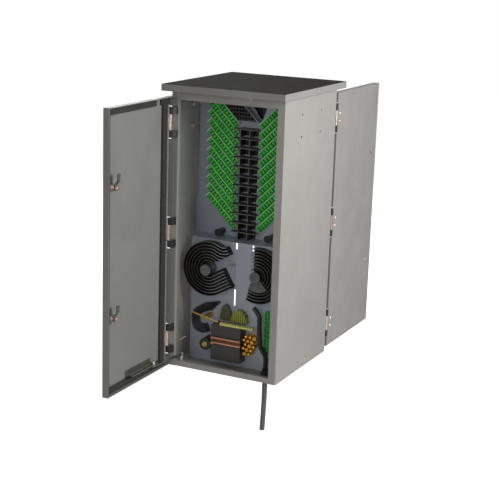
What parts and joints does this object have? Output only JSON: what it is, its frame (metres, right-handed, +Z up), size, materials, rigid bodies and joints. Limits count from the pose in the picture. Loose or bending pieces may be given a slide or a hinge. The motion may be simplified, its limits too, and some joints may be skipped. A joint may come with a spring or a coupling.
{
  "type": "fibre distribution hub cabinet",
  "caption": "Free-standing metal street cabinet with front and rear doors open, sloping green adapter rows, jumper guides, slack spools and cable entry inside.",
  "frame": {"origin": "middle of the base's underside, which is the centre of the base bolts", "axes": "+X to the right seen from the front, -Y towards the front door side, +Z up"},
  "size_m": [0.46, 1.29, 1.2054],
  "materials": {
    "painted_sheet": "fine powder coat, light warm grey",
    "bare_sheet": "smooth grey coat on the inner sheets",
    "zinc_steel": "zinc plated",
    "dark_zinc": "dull olive chromate",
    "black_plastic": "moulded, satin",
    "black_metal": "black coat",
    "green_plastic": "moulded adapter green",
    "yellow_plastic": "translucent yellow green",
    "olive_plastic": "moulded",
    "grey_plastic": "moulded",
    "foam_rubber": "closed cell strip",
    "copper": "bare copper bar",
    "brass": "turned",
    "cable_jacket": "smooth black jacket"
  },
  "bodies": {
    "cabinet": {"side_panel_left": "painted_sheet", "side_panel_right": "painted_sheet", "side_inserts": "zinc_steel", "front_header": "painted_sheet", "rear_header": "painted_sheet", "base_plate": "painted_sheet", "roof_cap": "painted_sheet", "hinge_blocks": "black_metal", "hinge_pins": "zinc_steel", "stay_studs": "zinc_steel", "bulkhead_panel": "bare_sheet", "adapter_rows": "green_plastic", "jumper_guides": "black_plastic", "parking_block": "black_plastic", "parking_bracket": "bare_sheet", "spool_panel": "bare_sheet", "spool_left": "black_plastic", "spool_right": "black_plastic", "spool_hubs": "grey_plastic", "radius_pegs": "black_plastic", "grounding_box": "black_plastic", "ground_bar": "copper", "ground_lugs": "copper", "clamp_gland": "black_plastic", "clamp_core": "brass", "cable_clamp": "brass", "fibre_comb": "yellow_plastic", "fanout_cover": "yellow_plastic", "slack_cover": "olive_plastic", "side_adapter_strip": "green_plastic", "entry_sleeve": "black_plastic", "cable_loop": "cable_jacket", "splitter_shelf": "bare_sheet", "splitter_modules": "black_plastic", "splice_trays": "black_plastic", "cable_entry_gland": "black_plastic", "cable_stub": "cable_jacket"},
    "front_door_set": {"front_door": "painted_sheet", "front_door_gasket": "foam_rubber", "front_hinge_leaves": "zinc_steel", "front_latch_housings": "zinc_steel", "front_stay_bracket": "dark_zinc"},
    "front_lower_latch": {"front_lower_latch_spindle": "zinc_steel", "front_lower_latch_cam": "dark_zinc"},
    "front_upper_latch": {"front_upper_latch_spindle": "zinc_steel", "front_upper_latch_cam": "dark_zinc"},
    "front_stay_bolt": {"front_stay_slider": "zinc_steel"},
    "front_stay_link": {"front_stay_arm": "dark_zinc"},
    "rear_door_set": {"rear_door": "painted_sheet", "rear_door_gasket": "foam_rubber", "rear_hinge_leaves": "zinc_steel", "rear_latch_housings": "zinc_steel", "rear_stay_bracket": "dark_zinc"},
    "rear_lower_latch": {"rear_lower_latch_spindle": "zinc_steel", "rear_lower_latch_cam": "dark_zinc"},
    "rear_upper_latch": {"rear_upper_latch_spindle": "zinc_steel", "rear_upper_latch_cam": "dark_zinc"},
    "rear_stay_bolt": {"rear_stay_slider": "zinc_steel"},
    "rear_stay_link": {"rear_stay_arm": "dark_zinc"}
  },
  "joints": [
    {"name": "front_door_hinge", "type": "hinge", "parent": "cabinet", "child": "front_door_set", "pos_m": [-0.206, -0.235, 0.4865], "axis": [0, 0, 1], "range_deg": [0, 90]},
    {"name": "front_lower_latch_turn", "type": "hinge", "parent": "front_door_set", "child": "front_lower_latch", "pos_m": [-0.206, -0.5965, 0.2705], "axis": [1, 0, 0], "range_deg": [0, 90]},
    {"name": "front_upper_latch_turn", "type": "hinge", "parent": "front_door_set", "child": "front_upper_latch", "pos_m": [-0.206, -0.5965, 0.7025], "axis": [1, 0, 0], "range_deg": [0, 90]},
    {"name": "front_stay_slide", "type": "slide", "parent": "front_door_set", "child": "front_stay_bolt", "axis": [0, -1, 0], "range_m": [0, 0.07826]},
    {"name": "front_stay_turn", "type": "hinge", "parent": "cabinet", "child": "front_stay_link", "pos_m": [-0.166, -0.197, 0.0395], "axis": [0, 0, 1], "range_deg": [0, 90.71]},
    {"name": "rear_door_hinge", "type": "hinge", "parent": "cabinet", "child": "rear_door_set", "pos_m": [0.206, 0.235, 0.4865], "axis": [0, 0, 1], "range_deg": [0, 90]},
    {"name": "rear_lower_latch_turn", "type": "hinge", "parent": "rear_door_set", "child": "rear_lower_latch", "pos_m": [0.206, 0.5965, 0.2705], "axis": [-1, 0, 0], "range_deg": [0, 90]},
    {"name": "rear_upper_latch_turn", "type": "hinge", "parent": "rear_door_set", "child": "rear_upper_latch", "pos_m": [0.206, 0.5965, 0.7025], "axis": [-1, 0, 0], "range_deg": [0, 90]},
    {"name": "rear_stay_slide", "type": "slide", "parent": "rear_door_set", "child": "rear_stay_bolt", "axis": [0, 1, 0], "range_m": [0, 0.07826]},
    {"name": "rear_stay_turn", "type": "hinge", "parent": "cabinet", "child": "rear_stay_link", "pos_m": [0.166, 0.197, 0.0395], "axis": [0, 0, 1], "range_deg": [0, 90.71]}
  ],
  "couplings": [
    {"joint": "front_stay_slide", "follows": "front_door_hinge", "m_per_rad": 0.049821},
    {"joint": "front_stay_turn", "follows": "front_door_hinge", "ratio": 1.0078},
    {"joint": "rear_stay_slide", "follows": "rear_door_hinge", "m_per_rad": 0.049821},
    {"joint": "rear_stay_turn", "follows": "rear_door_hinge", "ratio": 1.0078}
  ]
}
